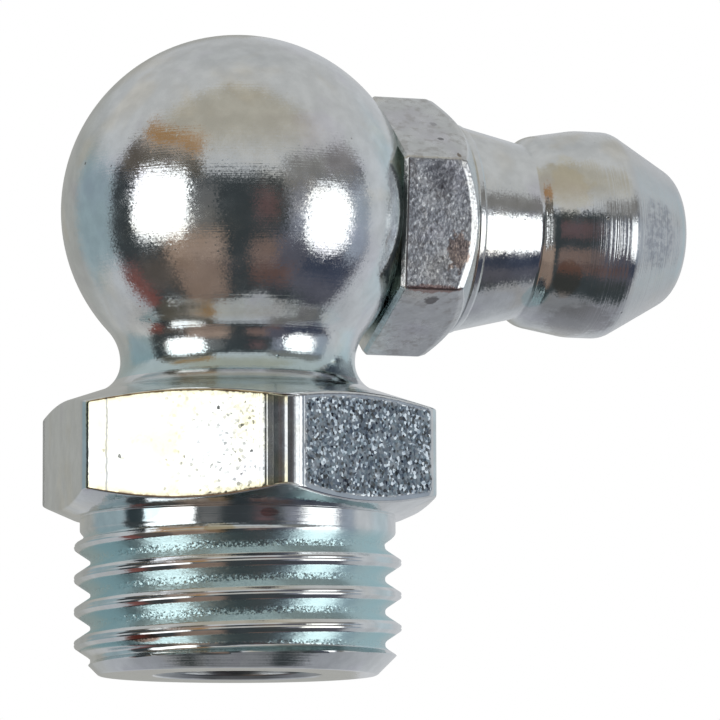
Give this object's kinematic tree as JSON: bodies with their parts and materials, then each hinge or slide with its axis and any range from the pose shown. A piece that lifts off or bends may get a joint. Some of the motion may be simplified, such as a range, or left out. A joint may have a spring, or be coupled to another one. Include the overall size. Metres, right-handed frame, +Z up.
{
  "type": "right-angle grease nipple",
  "caption": "Right-angle ball-bodied grease nipple with a threaded shank, spanner hex and a screwed-in lubrication head with a sprung check ball.",
  "frame": {"origin": "shank axis, level with the underside of the spanner hex", "axes": "+Z up the shank axis towards the ball, +X along the lubrication head towards its tip"},
  "size_m": [0.02, 0.0124, 0.0197],
  "materials": {
    "body_zinc": "bright blue-white zinc plate, turned",
    "head_zinc": "bright blue-white zinc plate, turned",
    "ball_steel": "polished bearing steel",
    "spring_steel": "drawn spring wire"
  },
  "bodies": {
    "fitting": {"angle_body": "body_zinc", "nipple_head": "head_zinc", "ball_spring": "spring_steel"},
    "valve": {"check_ball": "ball_steel"}
  },
  "joints": [
    {"name": "valve_lift", "type": "slide", "parent": "fitting", "child": "valve", "axis": [-1, 0, 0], "range_m": [0, 0.001], "stiffness_N_per_m": 300, "springref_m": -0.0015, "deforming": ["ball_spring"]}
  ]
}
